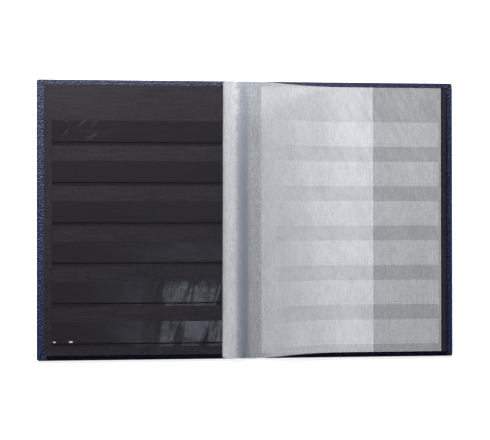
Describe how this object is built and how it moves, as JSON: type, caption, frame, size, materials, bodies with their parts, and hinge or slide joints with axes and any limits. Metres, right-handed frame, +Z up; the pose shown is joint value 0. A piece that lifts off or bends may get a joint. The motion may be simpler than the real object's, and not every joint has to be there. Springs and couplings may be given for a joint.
{
  "type": "stamp album",
  "caption": "Open A5 stamp stockbook: blue leatherette hard case, black card leaves with clear film pocket strips and glassine interleaves, one of them turned over in a curl.",
  "frame": {"origin": "under the middle of the spine, at half the album's height", "axes": "+X across the spread towards the right page, +Y to the head of the pages, +Z up out of the open pages"},
  "size_m": [0.338, 0.225, 0.0281],
  "materials": {
    "leatherette": "dark blue grained leatherette",
    "greyboard": "grey binder's board",
    "endpaper": "black end paper",
    "lining": "black woven lining",
    "card": "matt black card",
    "film": "clear glossy film",
    "guard": "black linen tape",
    "glassine": "translucent glassine paper"
  },
  "bodies": {
    "spine": {"spine_board": "greyboard", "spine_leatherette": "leatherette", "spine_lining": "lining", "front_joint": "leatherette", "back_joint": "leatherette", "front_lining_flap": "lining", "back_lining_flap": "lining", "leaf_1_guard": "guard", "leaf_2_guard": "guard", "leaf_3_guard": "guard", "leaf_4_guard": "guard", "leaf_5_guard": "guard", "leaf_6_guard": "guard", "leaf_7_guard": "guard", "leaf_8_guard": "guard"},
    "front_cover": {"front_board": "greyboard", "front_leatherette": "leatherette", "front_pastedown": "endpaper"},
    "back_cover": {"back_board": "greyboard", "back_leatherette": "leatherette", "back_pastedown": "endpaper"},
    "leaf_1": {"leaf_1_card": "card", "leaf_1_strips": "film", "leaf_1_upper_interleaf": "glassine"},
    "leaf_2": {"leaf_2_card": "card", "leaf_2_strips": "film", "leaf_2_lower_interleaf": "glassine", "leaf_2_upper_interleaf": "glassine"},
    "leaf_3": {"leaf_3_card": "card", "leaf_3_strips": "film", "leaf_3_lower_interleaf": "glassine", "leaf_3_upper_interleaf": "glassine"},
    "leaf_4": {"leaf_4_card": "card", "leaf_4_strips": "film", "leaf_4_lower_interleaf": "glassine"},
    "leaf_5": {"leaf_5_card": "card", "leaf_5_strips": "film", "leaf_5_lower_interleaf": "glassine"},
    "leaf_6": {"leaf_6_card": "card", "leaf_6_strips": "film", "leaf_6_lower_interleaf": "glassine", "leaf_6_upper_interleaf": "glassine"},
    "leaf_7": {"leaf_7_card": "card", "leaf_7_strips": "film", "leaf_7_lower_interleaf": "glassine", "leaf_7_upper_interleaf": "glassine"},
    "leaf_8": {"leaf_8_card": "card", "leaf_8_strips": "film", "leaf_8_upper_interleaf": "glassine"},
    "right_interleaf": {"right_interleaf": "glassine"},
    "turned_interleaf": {"turned_interleaf": "glassine"}
  },
  "joints": [
    {"name": "front_cover_turn", "type": "hinge", "parent": "spine", "child": "front_cover", "pos_m": [-0.00633, 0, 0.0017], "axis": [0, -1, 0], "range_deg": [-90, 0], "deforming": ["front_joint", "front_lining_flap", "leaf_1_guard", "leaf_2_guard", "leaf_3_guard", "leaf_4_guard"]},
    {"name": "back_cover_turn", "type": "hinge", "parent": "spine", "child": "back_cover", "pos_m": [0.00633, 0, 0.0017], "axis": [0, 1, 0], "range_deg": [-90, 0], "deforming": ["back_joint", "back_lining_flap", "leaf_5_guard", "leaf_6_guard", "leaf_7_guard", "leaf_8_guard"]},
    {"name": "leaf_1_turn", "type": "hinge", "parent": "front_cover", "child": "leaf_1", "pos_m": [-0.0105, 0, 0.00305], "axis": [0, 1, 0], "range_deg": [0, 8]},
    {"name": "leaf_2_turn", "type": "hinge", "parent": "leaf_1", "child": "leaf_2", "pos_m": [-0.0105, 0, 0.00413], "axis": [0, 1, 0], "range_deg": [0, 8]},
    {"name": "leaf_3_turn", "type": "hinge", "parent": "leaf_2", "child": "leaf_3", "pos_m": [-0.0105, 0, 0.00534], "axis": [0, 1, 0], "range_deg": [0, 8]},
    {"name": "leaf_4_turn", "type": "hinge", "parent": "leaf_3", "child": "leaf_4", "pos_m": [-0.0105, 0, 0.00655], "axis": [0, 1, 0], "range_deg": [0, 8]},
    {"name": "leaf_8_turn", "type": "hinge", "parent": "back_cover", "child": "leaf_8", "pos_m": [0.0105, 0, 0.00305], "axis": [0, -1, 0], "range_deg": [0, 8]},
    {"name": "leaf_7_turn", "type": "hinge", "parent": "leaf_8", "child": "leaf_7", "pos_m": [0.0105, 0, 0.00413], "axis": [0, -1, 0], "range_deg": [0, 8]},
    {"name": "leaf_6_turn", "type": "hinge", "parent": "leaf_7", "child": "leaf_6", "pos_m": [0.0105, 0, 0.00534], "axis": [0, -1, 0], "range_deg": [0, 8]},
    {"name": "leaf_5_turn", "type": "hinge", "parent": "leaf_6", "child": "leaf_5", "pos_m": [0.0105, 0, 0.00655], "axis": [0, -1, 0], "range_deg": [0, 8]},
    {"name": "right_interleaf_turn", "type": "hinge", "parent": "leaf_5", "child": "right_interleaf", "pos_m": [0.0105, 0, 0.00763], "axis": [0, -1, 0], "range_deg": [0, 8]},
    {"name": "turned_interleaf_turn", "type": "hinge", "parent": "right_interleaf", "child": "turned_interleaf", "pos_m": [0.02297, 0, 0.02048], "axis": [0, -1, 0], "range_deg": [0, 45], "deforming": ["turned_interleaf"]}
  ]
}
